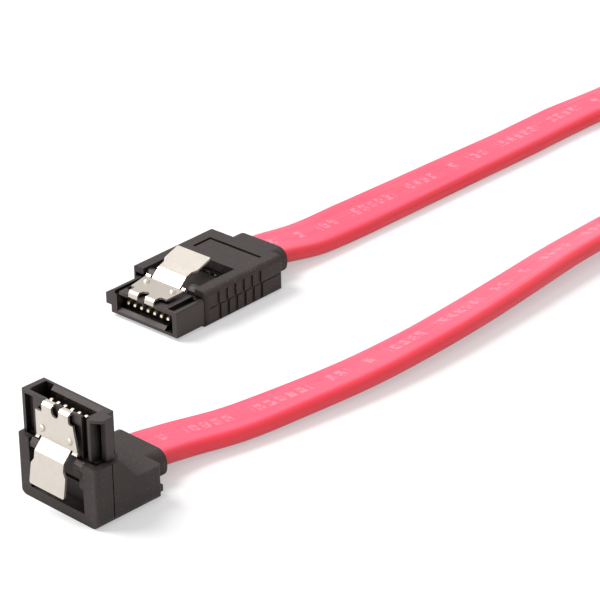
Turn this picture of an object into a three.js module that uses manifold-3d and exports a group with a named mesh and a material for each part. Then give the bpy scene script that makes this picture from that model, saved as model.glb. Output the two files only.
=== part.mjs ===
// Flat data cable with a straight plug, a right-angle plug and a spring latch on each.
// Millimetres, +Z up. +X runs along the cable from the plugs; both plugs rest on Z = 0.
//
// Each plug is drawn in its own frame: x across the mouth, y from the mouth's thick lip
// towards the latch, z out of the mouth, with z = 0 on the rim.

import * as THREE from 'three';
import { mergeVertices } from 'three/addons/utils/BufferGeometryUtils.js';
import Module from 'manifold-3d';

const wasm = await Module();
wasm.setup();

// Driving dimensions

const FIT = 0.1; // clearance between seated pieces
const CORD_GAP = 0.3; // clearance around and before the free cord

const CONTACT_COUNT = 7;
const CONTACT_PITCH = 1.27;
const CONTACT_WIDTH = 0.45;
const CONTACT_THICK = 0.2;
const CONTACT_SETBACK = 1.25; // contact tip behind the rim
const CONTACT_FOOT = 1.3; // lowest point of the tip
const CONTACT_CROWN = 0.2; // rise of the tip above the strip

const NOSE_WALL = 0.85; // beside the mouth on its keyed side
const NOSE_HEIGHT = 3.7; // to the latch plateau
const RIB_DEPTH = 1.0;
const RIB_LOW = 1.1;
const RIB_HIGH = 2.3;
const RIB_WALL = 0.8; // outside the second groove
const RIM_CAP = 0.4; // full outline kept at the rim
const KEYED_MARGIN = 2.1; // from the nose's side to the latch plateau, keyed side
const PLAIN_MARGIN = 2.65; // the same on the other side
const RIDGE_WIDTH = 0.5;
const GROOVE_WIDTH = 0.85;
const WIDE_GROOVE_WIDTH = 1.4;
const GROOVE_FLOOR = 3.05;
const SLOT_ROOM = 2.14; // from the last contact's middle to the mouth's keyed end
const SLOT_OTHER_ROOM = 0.85; // the same at the other end
const SLOT_LOW = 1.6;
const SLOT_HIGH = 2.85;
const SLOT_DEPTH = 6.0;
const KEY_WIDTH = 1.5; // foot of the L-shaped mouth
const KEY_LOW = 0.4;
const LIP_CHAMFER = 0.5;
const ROOF_CHAMFER = 0.4; // lead-in over the contacts
const TROUGH_LOW = 0.95; // floor in front of and below the contact tips
const TROUGH_END = 1.9;
const SHANK_MARGIN = 0.6; // housing inside the moulding, in from the nose's side
const SHANK_HIGH = 3.4;
const WELL_START = 6.6; // deeper floor under the press pad
const WELL_FLOOR = 2.4;
const RAIL_HEIGHT = 3.7;
const RAIL_SETBACK = 5.9;
const LUG_HEIGHT = 4.55; // block at each rail's front
const LUG_LENGTH = 1.1;
const LUG_CHAMFER = 0.5;
const RAIL_GAP = 6.3; // between the two rails beside the latch

const LATCH_THICK = 0.3;
const LATCH_LEVEL = 4.2; // middle of the plate above the lip's underside
const PLATE_KEYED = 3.6; // from the middle to the keyed side
const PLATE_PLAIN_FRONT = 3.2; // to the other side, at the front
const PLATE_PLAIN_BACK = 3.9;
const PLATE_ROOM = 0.15; // beside the plate
const PLATE_FRONT = 1.45;
const PLATE_END = 5.2;
const PLATE_NOTCH = 0.35; // cut into the plate beside the ramp
const PRONG_OUTER = 4.8; // over both prongs
const PRONG_GAP = 1.35;
const RAMP_WIDTH = 5.3;
const RAMP_START = 5.0;
const RAMP_END = 6.4;
const RAMP_RISE = 1.3;
const PAD_WIDTH = 6.3;
const PAD_START = 8.1;
const PAD_END = 10.8;
const STRAIGHT_PAD_RISE = 1.45;
const ANGLED_PAD_RISE = 0.7;
const PAD_CORNER = 0.35;
const BUMP_RADIUS = 0.5;
const BUMP_HEIGHT = 0.38;
const BUMP_SPACING = 5.0;
const BUMP_SETBACK = 3.75;
const PRESS_ROOM = 0.25; // pocket under the plate

const BODY_MARGIN = 0.3; // moulding outside the nose, each side
const BODY_ROUND = 0.8;
const PLAN_ROUND = 0.6;
const SEAM_WIDTH = 0.16;
const SEAM_DEPTH = 0.14;
const WINDOW_MARGIN = 1.9; // from the nose's side to the latch window
const NOTCH_MARGIN = 2.3; // pockets in the moulding's front, open to the window
const NOTCH_DEPTH = 1.3;
const NOTCH_HOOD = 0.9; // moulding left above each pocket

const STRAIGHT_LOW = -0.5; // underside of the straight moulding
const STRAIGHT_HIGH = 4.85;
const STRAIGHT_END = 21.1;
const STRAIGHT_SEAM = 2.25;
const GRIP_COUNT = 6;
const GRIP_PITCH = 1.69;
const GRIP_START = 8.2;
const GRIP_WIDTH = 0.6;
const GRIP_DEPTH = 0.2;
const GRIP_TOP = 4.2;
const GRIP_SHIFT = 0.28; // upper half against lower half
const MARK_WIDTH = 0.5;
const MARK_DEPTH = 0.45;
const MARK_LEFT = -4.8;
const MARK_RIGHT = 5.1;
const MARK_FRONT = 15.35;
const MARK_BACK = 18.95;

const ANGLED_HEIGHT = 14.3; // rim above the surface
const ANGLED_FRONT = 4.65;
const ANGLED_EXTRA = 0.45; // wider on the side away from the key
const ANGLED_BACK = 5.9; // behind the nose's back face
const FOOT_ROUND = 1.4; // lower side edges
const ANGLED_SEAM = 2.1;
const DECK_LEVEL = 9.2; // deck behind the nose, below the rim
const DECK_START = 1.9;
const WEDGE_START = 0.9;
const ANGLED_WINDOW_END = 12.8;
const ANGLED_WINDOW_FLOOR = 2.7; // below the housing's end

const COLLAR_WIDTH = 9.7;
const STRAIGHT_COLLAR_HEIGHT = 3.8;
const ANGLED_COLLAR_HEIGHT = 3.8;
const COLLAR_LENGTH = 3.4;
const COLLAR_ROUND = 1.6;
const NUB_SIZE = 0.9;

const CABLE_WIDTH = 8.0;
const CABLE_THICK = 2.2;
const CABLE_SIDES = 12;
const CABLE_STEPS = 72;
const CABLE_INSET = 2.4; // cable end inside the collar
const STRAIGHT_CABLE_LEVEL = 2.0;
const ANGLED_CABLE_LEVEL = 11.8;
const CORE_DIAMETER = 1.0;
const DRAIN_DIAMETER = 0.5;
const DRAINS = new Set([0, 3, 6]); // contacts fed by bare drain wires
const SLEEVE_RISE = 1.2;
const SLEEVE_BORE_RISE = 0.6;
const SLEEVE_WALL = 0.55;

// How far the nose, the housing's shank and rails and the contact tails reach behind the rim
const STRAIGHT_TAILS = 14.6;
const STRAIGHT_DEPTHS = {
  nose: 5.45,
  shank: STRAIGHT_TAILS - 0.7,
  rails: STRAIGHT_TAILS - 1.1,
  tails: STRAIGHT_TAILS,
};
const ANGLED_DEPTHS = {
  nose: 5.8,
  shank: ANGLED_CABLE_LEVEL - 1.6,
  rails: ANGLED_CABLE_LEVEL - 1.6,
  tails: ANGLED_CABLE_LEVEL + 0.4,
};

const ANGLED_PLACE = { x: -37.15, y: -27.08, turn: -0.0406 }; // from the straight plug's rim

// The cable's middle line from the straight plug's rim: x, y, height and roll in degrees
const CABLE_ROUTE = [
  [19, 0, 2.5, 0],
  [24.5, 0, 2.5, 0],
  [33, -1, 1.7, 5],
  [42, -1.3, 1.51, 7],
  [51.5, -1.5, 1.42, 5],
  [65, -1.7, 1.28, 2.3],
  [79, -2, 1.16, 0],
  [92, -2.1, 1.16, 0],
  [106, -3.2, 1.46, -6],
  [125, -2.2, 1.91, 15],
  [145, 2, 3.21, 45],
  [165, 6.6, 3.96, 75],
  [181, 9.6, 4.06, 88],
  [196, 10.5, 4.06, 90],
  [210, 6.75, 4.06, 90],
  [220.25, -3.5, 4.06, 90],
  [224, -17.5, 4.06, 90],
  [220.25, -31.5, 4.06, 90],
  [210, -41.75, 4.06, 90],
  [196, -45.5, 4.06, 90],
  [180, -44.9, 4.06, 88],
  [162, -42.4, 4.02, 80],
  [142, -38.6, 3.77, 64],
  [120, -35.2, 3.25, 46],
  [98, -33.2, 2.61, 30],
  [82, -32.5, 2.2, 21],
  [66, -32.4, 2.01, 17],
  [52, -32.6, 1.99, 16.7],
  [41, -33.25, 1.9, 14.7],
  [30, -33.8, 1.78, 12.4],
  [18.5, -34.05, 1.74, 11.5],
  [7, -33.45, 1.6, 8.8],
  [-4.4, -31.85, 1.49, 6.5],
  [-14, -30.1, 1.46, 3.6],
  [-22, -28, 1.85, 2],
  [-27.86, -27.46, 2.5, 0],
  [-33.35, -27.23, 2.5, 0],
];

// Derived sizes

const contactX = (index) => (index - (CONTACT_COUNT - 1) / 2) * CONTACT_PITCH;
const SLOT_RIGHT = contactX(CONTACT_COUNT - 1) + SLOT_ROOM;
const SLOT_LEFT = contactX(0) - SLOT_OTHER_ROOM;
const NOSE_HALF = SLOT_RIGHT + NOSE_WALL;
const BODY_HALF = NOSE_HALF + BODY_MARGIN;
const SHANK_HALF = NOSE_HALF - SHANK_MARGIN;
const WINDOW_HALF = NOSE_HALF - WINDOW_MARGIN;
const CONTACT_LOW = SLOT_LOW + FIT / 2;
const CONTACT_HIGH = CONTACT_LOW + CONTACT_THICK;
const ROW_HALF = contactX(CONTACT_COUNT - 1) + CORE_DIAMETER / 2;
const PLATE_HALF = Math.max(PLATE_KEYED, PLATE_PLAIN_BACK);
const SLEEVE_BORE_HALF = ROW_HALF + 0.15;
const SLEEVE_HALF = SLEEVE_BORE_HALF + SLEEVE_WALL;
const STRAIGHT_CABLE_START = STRAIGHT_END - CABLE_INSET;
const ANGLED_CABLE_START = ANGLED_BACK - CABLE_INSET;

// Finishes

const finish = (color, roughness, metalness = 0) =>
  new THREE.MeshStandardMaterial({ color, roughness, metalness });

const FINISHES = {
  housing: () => finish(0x35302f, 0.45),
  moulding: () => finish(0x2e2928, 0.75),
  steel: () => finish(0xd9d2c8, 0.3, 1),
  gold: () => finish(0xe2bd6a, 0.25, 1),
  sleeve: () => finish(0x4a4644, 0.7),
  core: () => finish(0xd8d4cc, 0.5),
  copper: () => finish(0xc8c6c2, 0.3, 1),
  cable: () => finish(0xf0566c, 0.5),
};

// Solids

function toSolid(geometry) {
  const plain = geometry.clone();
  plain.deleteAttribute('normal');
  plain.deleteAttribute('uv');
  const merged = mergeVertices(plain, 1e-5);
  return new wasm.Manifold(new wasm.Mesh({
    numProp: 3,
    vertProperties: new Float32Array(merged.attributes.position.array),
    triVerts: new Uint32Array(merged.index.array),
  }));
}

function toGeometry(solid) {
  const mesh = solid.getMesh();
  const geometry = new THREE.BufferGeometry();
  geometry.setAttribute('position', new THREE.BufferAttribute(new Float32Array(mesh.vertProperties), 3));
  geometry.setIndex(new THREE.BufferAttribute(new Uint32Array(mesh.triVerts), 1));
  geometry.computeVertexNormals();
  return geometry;
}

function box(x0, x1, y0, y1, z0, z1) {
  const geometry = new THREE.BoxGeometry(Math.abs(x1 - x0), Math.abs(y1 - y0), Math.abs(z1 - z0));
  geometry.translate((x0 + x1) / 2, (y0 + y1) / 2, (z0 + z1) / 2);
  return toSolid(geometry);
}

function outline(points) {
  return new THREE.Shape(points.map(([a, b]) => new THREE.Vector2(a, b)));
}

function roundedRect(a0, a1, b0, b1, radius) {
  const r = Math.min(radius, (a1 - a0) / 2 - 0.01, (b1 - b0) / 2 - 0.01);
  const shape = new THREE.Shape();
  shape.moveTo(a0 + r, b0);
  shape.lineTo(a1 - r, b0);
  shape.absarc(a1 - r, b0 + r, r, -Math.PI / 2, 0, false);
  shape.lineTo(a1, b1 - r);
  shape.absarc(a1 - r, b1 - r, r, 0, Math.PI / 2, false);
  shape.lineTo(a0 + r, b1);
  shape.absarc(a0 + r, b1 - r, r, Math.PI / 2, Math.PI, false);
  shape.lineTo(a0, b0 + r);
  shape.absarc(a0 + r, b0 + r, r, Math.PI, 1.5 * Math.PI, false);
  return shape;
}

// A shape in x and y, drawn between two z levels.
function alongZ(shape, z0, z1, curveSegments = 4) {
  const depth = Math.abs(z1 - z0);
  const geometry = new THREE.ExtrudeGeometry(shape, { depth, bevelEnabled: false, curveSegments });
  geometry.translate(0, 0, Math.min(z0, z1));
  return toSolid(geometry);
}

// A shape in x and -z, drawn between two y levels.
function alongY(shape, y0, y1, curveSegments = 4) {
  const depth = Math.abs(y1 - y0);
  const geometry = new THREE.ExtrudeGeometry(shape, { depth, bevelEnabled: false, curveSegments });
  geometry.rotateX(-Math.PI / 2);
  geometry.translate(0, Math.min(y0, y1), 0);
  return toSolid(geometry);
}

// A shape in -z and y, drawn between two x levels.
function alongX(shape, x0, x1, curveSegments = 4) {
  const depth = Math.abs(x1 - x0);
  const geometry = new THREE.ExtrudeGeometry(shape, { depth, bevelEnabled: false, curveSegments });
  geometry.rotateY(Math.PI / 2);
  geometry.translate(Math.min(x0, x1), 0, 0);
  return toSolid(geometry);
}

function mesh(name, solid, material) {
  const node = new THREE.Mesh(toGeometry(solid), material);
  node.name = name;
  return node;
}

// Contact housing with the L-shaped mouth, the latch plateau and the two rails

function noseOutline(atRim) {
  const keyed = NOSE_HALF - KEYED_MARGIN;
  const keyedWall = keyed + WIDE_GROOVE_WIDTH;
  const plain = -NOSE_HALF + PLAIN_MARGIN;
  const ridgeIn = plain - GROOVE_WIDTH;
  const ridgeOut = ridgeIn - RIDGE_WIDTH;
  const top = NOSE_HEIGHT;
  const ribFloor = RIB_LOW + 0.4;
  const keyedGroove = atRim
    ? []
    : [[keyedWall, GROOVE_FLOOR], [keyed, GROOVE_FLOOR]];
  const ribEdge = atRim
    ? [[ridgeOut, top - 0.1], [-NOSE_HALF, RIB_HIGH + 0.45]]
    : [[ridgeOut, top - 0.1], [ridgeOut, ribFloor], [-NOSE_HALF + RIB_WALL, ribFloor],
      [-NOSE_HALF + RIB_WALL, RIB_HIGH], [-NOSE_HALF, RIB_HIGH]];
  return outline([
    [-NOSE_HALF + RIB_DEPTH, 0], [NOSE_HALF, 0], [NOSE_HALF, top - 0.1], [NOSE_HALF - 0.2, top + 0.1],
    [keyedWall, top + 0.1], ...keyedGroove, [keyed, top],
    [plain, top], [plain, GROOVE_FLOOR], [ridgeIn, GROOVE_FLOOR], [ridgeIn, top - 0.1],
    ...ribEdge, [-NOSE_HALF, RIB_LOW], [-NOSE_HALF + RIB_DEPTH, RIB_LOW],
  ]);
}

function contactHousing(depths) {
  let solid = alongZ(noseOutline(true), -RIM_CAP, 0)
    .add(alongZ(noseOutline(false), -depths.nose, -RIM_CAP))
    .add(box(-SHANK_HALF, SHANK_HALF, 0, SHANK_HIGH, -depths.shank, -depths.nose + FIT));
  const railInner = RAIL_GAP / 2;
  const railOuter = WINDOW_HALF - FIT;
  const railProfile = outline([
    [RAIL_SETBACK, 0], [depths.rails, 0], [depths.rails, RAIL_HEIGHT],
    [RAIL_SETBACK + LUG_LENGTH, RAIL_HEIGHT], [RAIL_SETBACK + LUG_LENGTH, LUG_HEIGHT],
    [RAIL_SETBACK + LUG_CHAMFER, LUG_HEIGHT], [RAIL_SETBACK, LUG_HEIGHT - LUG_CHAMFER],
  ]);
  for (const side of [-1, 1]) {
    solid = solid.add(alongX(railProfile, Math.min(side * railInner, side * railOuter),
      Math.max(side * railInner, side * railOuter)));
  }
  const plateFloor = NOSE_HEIGHT - PRESS_ROOM;
  const springFloor = SHANK_HIGH - PRESS_ROOM;
  const wellHalf = railInner - FIT / 2;
  solid = solid
    .subtract(box(-PLATE_PLAIN_BACK - PLATE_ROOM, PLATE_KEYED + PLATE_ROOM, plateFloor, NOSE_HEIGHT + 1,
      -RAIL_SETBACK + FIT / 2, -PLATE_FRONT + FIT))
    .subtract(box(-wellHalf, wellHalf, springFloor, LUG_HEIGHT + 1, -depths.shank - 1, -RAIL_SETBACK - FIT))
    .subtract(box(-wellHalf, wellHalf, WELL_FLOOR, LUG_HEIGHT + 1, -depths.shank - 1, -WELL_START));
  for (const side of [-1, 1]) {
    const inner = side * (PRONG_GAP / 2 - FIT);
    const outer = side * (PRONG_OUTER / 2 + FIT);
    solid = solid.subtract(box(inner, outer, SLOT_HIGH - 0.1, NOSE_HEIGHT + 1, -LATCH_THICK - 2 * FIT, 1));
  }
  solid = solid.subtract(box(SLOT_LEFT, SLOT_RIGHT, SLOT_LOW, SLOT_HIGH, -SLOT_DEPTH, 1));
  solid = solid.subtract(box(SLOT_RIGHT - KEY_WIDTH, SLOT_RIGHT, KEY_LOW, SLOT_HIGH, -SLOT_DEPTH, 1));
  const lead = outline([
    [0, TROUGH_LOW - LIP_CHAMFER], [LIP_CHAMFER, TROUGH_LOW], [TROUGH_END, TROUGH_LOW],
    [TROUGH_END, SLOT_LOW + 0.1], [-1, SLOT_LOW + 0.1], [-1, TROUGH_LOW - LIP_CHAMFER],
  ]);
  const roof = outline([
    [-1, SLOT_HIGH - 0.1], [ROOF_CHAMFER + 0.1, SLOT_HIGH - 0.1], [ROOF_CHAMFER, SLOT_HIGH],
    [0, SLOT_HIGH + ROOF_CHAMFER], [-1, SLOT_HIGH + ROOF_CHAMFER],
  ]);
  solid = solid
    .subtract(alongX(lead, SLOT_LEFT, SLOT_RIGHT - KEY_WIDTH + 0.1))
    .subtract(alongX(roof, SLOT_LEFT, SLOT_RIGHT - 0.1));
  for (let i = 0; i < CONTACT_COUNT; i += 1) {
    const half = CONTACT_WIDTH / 2 + FIT;
    solid = solid.subtract(box(contactX(i) - half, contactX(i) + half, CONTACT_LOW - FIT, CONTACT_HIGH + FIT,
      -depths.shank - 1, -SLOT_DEPTH + 0.5));
  }
  return solid;
}

// Contacts: a strip along the lip with a crowned tip turned down into the trough

function contact(index, tail) {
  const tip = CONTACT_SETBACK;
  const low = CONTACT_LOW;
  const high = CONTACT_HIGH;
  const crown = high + CONTACT_CROWN;
  const profile = outline([
    [tip, CONTACT_FOOT], [tip + 0.3, CONTACT_FOOT], [tip + 0.7, low], [tail, low], [tail, high],
    [tip + 1.9, high], [tip + 1.2, crown], [tip + 0.8, crown - 0.03], [tip + 0.4, crown - 0.18],
    [tip + 0.1, high - 0.2],
  ]);
  const half = CONTACT_WIDTH / 2;
  return alongX(profile, contactX(index) - half, contactX(index) + half);
}

// Latch: a stamped leaf with two prongs over the rim, side lobes, a ramp and a press pad

function latchSpring(padRise) {
  const half = LATCH_THICK / 2;
  const top = LATCH_LEVEL + RAMP_RISE + padRise;
  const spine = [
    [half, SLOT_HIGH + 0.55], [half + 0.05, LATCH_LEVEL - 0.3], [half + 0.3, LATCH_LEVEL],
    [RAMP_START, LATCH_LEVEL], [RAMP_END, LATCH_LEVEL + RAMP_RISE],
    [PAD_END, top],
  ];
  const leaf = alongX(offsetStrip(spine, LATCH_THICK), -PLATE_HALF - 1, PLATE_HALF + 1);
  const plan = new THREE.Shape();
  const ramp = RAMP_WIDTH / 2;
  const pad = PAD_WIDTH / 2;
  const prong = PRONG_OUTER / 2;
  const gap = PRONG_GAP / 2;
  const notch = ramp + PLATE_NOTCH;
  plan.moveTo(gap, -1);
  plan.lineTo(prong, -1);
  plan.lineTo(prong, PLATE_FRONT - 0.3);
  plan.quadraticCurveTo(prong, PLATE_FRONT, prong + 0.3, PLATE_FRONT);
  plan.lineTo(PLATE_KEYED, PLATE_FRONT);
  plan.lineTo(PLATE_KEYED, PLATE_END);
  plan.lineTo(notch, PLATE_END);
  plan.lineTo(notch, PLATE_END - PLATE_NOTCH);
  plan.lineTo(ramp, PLATE_END - PLATE_NOTCH);
  plan.lineTo(ramp, PAD_START - 0.7);
  plan.lineTo(pad, PAD_START);
  plan.lineTo(pad, PAD_END - PAD_CORNER);
  plan.quadraticCurveTo(pad, PAD_END, pad - PAD_CORNER, PAD_END);
  plan.lineTo(-pad + PAD_CORNER, PAD_END);
  plan.quadraticCurveTo(-pad, PAD_END, -pad, PAD_END - PAD_CORNER);
  plan.lineTo(-pad, PAD_START);
  plan.lineTo(-ramp, PAD_START - 0.7);
  plan.lineTo(-ramp, PLATE_END - PLATE_NOTCH);
  plan.lineTo(-notch, PLATE_END - PLATE_NOTCH);
  plan.lineTo(-notch, PLATE_END);
  plan.lineTo(-PLATE_PLAIN_BACK, PLATE_END);
  plan.lineTo(-PLATE_PLAIN_FRONT, PLATE_FRONT);
  plan.lineTo(-prong - 0.3, PLATE_FRONT);
  plan.quadraticCurveTo(-prong, PLATE_FRONT, -prong, PLATE_FRONT - 0.3);
  plan.lineTo(-prong, -1);
  plan.lineTo(-gap, -1);
  plan.lineTo(-gap, PLATE_FRONT - gap);
  plan.absarc(0, PLATE_FRONT - gap, gap, Math.PI, 0, true);
  let solid = leaf.intersect(alongY(plan, 0, top + LATCH_THICK));
  for (const side of [-1, 1]) {
    const bump = new THREE.SphereGeometry(BUMP_RADIUS, 12, 8);
    bump.scale(1, BUMP_HEIGHT / BUMP_RADIUS, 1);
    bump.translate(side * BUMP_SPACING / 2, LATCH_LEVEL + half - 0.02, -BUMP_SETBACK);
    solid = solid.add(toSolid(bump));
  }
  return solid;
}

// The outline of a strip of even thickness along a bent line.
function offsetStrip(spine, thick) {
  const points = spine.map(([a, b]) => new THREE.Vector2(a, b));
  const sides = [[], []];
  points.forEach((point, i) => {
    const before = points[Math.max(i - 1, 0)];
    const after = points[Math.min(i + 1, points.length - 1)];
    const inward = point.clone().sub(before).normalize();
    const outward = after.clone().sub(point).normalize();
    const along = inward.clone().add(outward).normalize();
    const ends = i === 0 || i === points.length - 1;
    const stretch = ends ? 1 : 1 / Math.max(along.dot(inward), 0.5);
    const normal = new THREE.Vector2(-along.y, along.x).multiplyScalar(thick / 2 * stretch);
    sides[0].push(point.clone().add(normal));
    sides[1].push(point.clone().sub(normal));
  });
  return new THREE.Shape([...sides[0], ...sides[1].reverse()]);
}

// Mouldings

// Room for the housing's shank, the latch window above it and the pockets in the front face.
function housingRoom(depths, windowEnd, high) {
  const half = SHANK_HALF + FIT;
  const notchHalf = NOSE_HALF - 0.4;
  const notchInner = NOSE_HALF - NOTCH_MARGIN;
  const notchEnd = -depths.nose - NOTCH_DEPTH;
  const clear = -depths.nose + 1;
  const hood = high - NOTCH_HOOD;
  return box(-half, half, -FIT, SHANK_HIGH + FIT, -depths.shank - FIT, clear)
    .add(box(-WINDOW_HALF, WINDOW_HALF, SHANK_HIGH, high + 1, -windowEnd, clear))
    .add(box(-notchHalf, -notchInner, GROOVE_FLOOR, hood, notchEnd, clear))
    .add(box(notchInner, notchHalf, GROOVE_FLOOR, hood, notchEnd, clear));
}

function collarShape(level, height) {
  const half = COLLAR_WIDTH / 2;
  const rise = height / 2;
  return roundedRect(-half, half, level - rise, level + rise, COLLAR_ROUND);
}

function boreShape(level) {
  const half = CABLE_WIDTH / 2 + CORD_GAP;
  const rise = CABLE_THICK / 2 + CORD_GAP;
  return roundedRect(-half, half, level - rise, level + rise, rise - 0.02);
}

function straightMoulding() {
  const front = STRAIGHT_DEPTHS.nose + FIT;
  const level = STRAIGHT_CABLE_LEVEL;
  const section = roundedRect(-BODY_HALF, BODY_HALF, STRAIGHT_LOW, STRAIGHT_HIGH, BODY_ROUND);
  const plan = roundedRect(-BODY_HALF, BODY_HALF, front, STRAIGHT_END, PLAN_ROUND);
  const nubOuter = BODY_HALF - NUB_SIZE;
  const nubLow = level + 0.2;
  const sleeveHalf = SLEEVE_HALF + FIT;
  const sleeveRise = SLEEVE_RISE + FIT;
  let solid = alongZ(section, -STRAIGHT_END, -front)
    .intersect(alongY(plan, STRAIGHT_LOW - 1, STRAIGHT_HIGH + 1))
    .add(alongZ(collarShape(level, STRAIGHT_COLLAR_HEIGHT), -STRAIGHT_END - COLLAR_LENGTH, -STRAIGHT_END + 1))
    .add(box(nubOuter - NUB_SIZE, nubOuter, nubLow, nubLow + NUB_SIZE,
      -STRAIGHT_END - NUB_SIZE, -STRAIGHT_END + 0.5))
    .subtract(housingRoom(STRAIGHT_DEPTHS, STRAIGHT_DEPTHS.rails + FIT, STRAIGHT_HIGH))
    .subtract(box(-sleeveHalf, sleeveHalf, level - sleeveRise, level + sleeveRise,
      -STRAIGHT_CABLE_START, -STRAIGHT_DEPTHS.shank))
    .subtract(alongZ(boreShape(level), -STRAIGHT_END - COLLAR_LENGTH - 1, -STRAIGHT_CABLE_START + FIT));

  for (let i = 0; i < GRIP_COUNT; i += 1) {
    const back = -GRIP_START - i * GRIP_PITCH - GRIP_WIDTH / 2;
    const shifted = back + GRIP_SHIFT;
    for (const side of [-1, 1]) {
      const floor = side * (BODY_HALF - GRIP_DEPTH);
      const clear = side * (BODY_HALF + 1);
      solid = solid
        .subtract(box(floor, clear, STRAIGHT_LOW - 1, STRAIGHT_SEAM, back, back + GRIP_WIDTH))
        .subtract(box(floor, clear, STRAIGHT_SEAM, GRIP_TOP, shifted, shifted + GRIP_WIDTH));
    }
  }
  for (const side of [-1, 1]) {
    solid = solid.subtract(box(side * (BODY_HALF - SEAM_DEPTH), side * (BODY_HALF + 1),
      STRAIGHT_SEAM - SEAM_WIDTH / 2, STRAIGHT_SEAM + SEAM_WIDTH / 2,
      -STRAIGHT_END + PLAN_ROUND, -front - PLAN_ROUND));
  }
  const markLow = STRAIGHT_HIGH - MARK_DEPTH;
  const markTop = STRAIGHT_HIGH + 1;
  return solid
    .subtract(box(MARK_LEFT, MARK_LEFT + MARK_WIDTH, markLow, markTop, -MARK_BACK, -MARK_FRONT))
    .subtract(box(MARK_LEFT, MARK_RIGHT, markLow, markTop, -MARK_BACK, -MARK_BACK + MARK_WIDTH));
}

function angledMoulding() {
  const front = ANGLED_DEPTHS.nose + FIT;
  const level = ANGLED_CABLE_LEVEL;
  const end = ANGLED_BACK + COLLAR_LENGTH;
  const plain = -BODY_HALF - ANGLED_EXTRA;
  const plan = roundedRect(plain, BODY_HALF, -ANGLED_BACK, ANGLED_FRONT, PLAN_ROUND);
  const profile = outline([
    [front, ANGLED_FRONT], [ANGLED_HEIGHT, ANGLED_FRONT], [ANGLED_HEIGHT, -ANGLED_BACK],
    [DECK_LEVEL, -ANGLED_BACK], [DECK_LEVEL, -DECK_START], [front, WEDGE_START],
  ]);
  const nubOuter = plain + NUB_SIZE;
  const nubLow = -level - ANGLED_COLLAR_HEIGHT / 2;
  const sleeveHalf = SLEEVE_HALF + FIT;
  const foot = roundedRect(plain, BODY_HALF, front - 2 * FOOT_ROUND, ANGLED_HEIGHT, FOOT_ROUND);
  let solid = alongZ(plan, -ANGLED_HEIGHT, -front)
    .intersect(alongX(profile, plain - 1, BODY_HALF + 1))
    .intersect(alongY(foot, -ANGLED_BACK - 1, ANGLED_FRONT + 1))
    .add(alongY(collarShape(level, ANGLED_COLLAR_HEIGHT), -end, -ANGLED_BACK + 1))
    .add(box(nubOuter, nubOuter + NUB_SIZE, -ANGLED_BACK - NUB_SIZE, -ANGLED_BACK + 0.5,
      nubLow, nubLow + NUB_SIZE))
    .subtract(housingRoom(ANGLED_DEPTHS, ANGLED_WINDOW_END, ANGLED_FRONT))
    .subtract(box(-WINDOW_HALF, WINDOW_HALF, ANGLED_WINDOW_FLOOR, ANGLED_FRONT + 1,
      -ANGLED_WINDOW_END, -ANGLED_DEPTHS.shank))
    .subtract(box(-sleeveHalf, sleeveHalf, -ANGLED_CABLE_START, CONTACT_HIGH + FIT,
      -level - SLEEVE_RISE - FIT, -ANGLED_DEPTHS.shank))
    .subtract(alongY(boreShape(level), -end - 1, -ANGLED_CABLE_START + FIT));
  for (const [floor, clear] of [[plain + SEAM_DEPTH, plain - 1], [BODY_HALF - SEAM_DEPTH, BODY_HALF + 1]]) {
    solid = solid.subtract(box(floor, clear,
      ANGLED_SEAM - SEAM_WIDTH / 2, ANGLED_SEAM + SEAM_WIDTH / 2, -ANGLED_HEIGHT - 1, -front + 1));
  }
  return solid;
}

// Inner pieces: the sleeve around the joints, the insulated cores and the bare drains

function straightSleeve() {
  const level = STRAIGHT_CABLE_LEVEL;
  const back = -STRAIGHT_CABLE_START + FIT;
  const front = -STRAIGHT_DEPTHS.shank - FIT;
  return box(-SLEEVE_HALF, SLEEVE_HALF, level - SLEEVE_RISE, level + SLEEVE_RISE, back, front)
    .subtract(box(-SLEEVE_BORE_HALF, SLEEVE_BORE_HALF, level - SLEEVE_BORE_RISE, level + SLEEVE_BORE_RISE,
      back - 1, front + 1));
}

function angledSleeve() {
  const level = -ANGLED_CABLE_LEVEL;
  const back = -ANGLED_CABLE_START + FIT;
  const front = CONTACT_LOW - FIT;
  return box(-SLEEVE_HALF, SLEEVE_HALF, back, front, level - SLEEVE_RISE, level + SLEEVE_RISE)
    .subtract(box(-SLEEVE_BORE_HALF, SLEEVE_BORE_HALF, back - 1, front + 1,
      level - SLEEVE_BORE_RISE, level + SLEEVE_BORE_RISE));
}

// A wire from a contact tail to the cable end, straight on along -z.
function straightWire(x, diameter) {
  const front = -STRAIGHT_DEPTHS.tails - FIT;
  const back = -STRAIGHT_CABLE_START - FIT;
  const geometry = new THREE.CylinderGeometry(diameter / 2, diameter / 2, front - back, 10);
  geometry.rotateX(Math.PI / 2);
  geometry.translate(x, STRAIGHT_CABLE_LEVEL, (front + back) / 2);
  return toSolid(geometry);
}

// The same wire in the right-angle plug, turned off along -y.
function angledWire(x, diameter) {
  const front = CONTACT_LOW - FIT;
  const back = -ANGLED_CABLE_START - FIT;
  const geometry = new THREE.CylinderGeometry(diameter / 2, diameter / 2, front - back, 10);
  geometry.translate(x, (front + back) / 2, -ANGLED_CABLE_LEVEL);
  return toSolid(geometry);
}

// Cable: a flat round-edged section swept along the route, rolled as the route says

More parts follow.
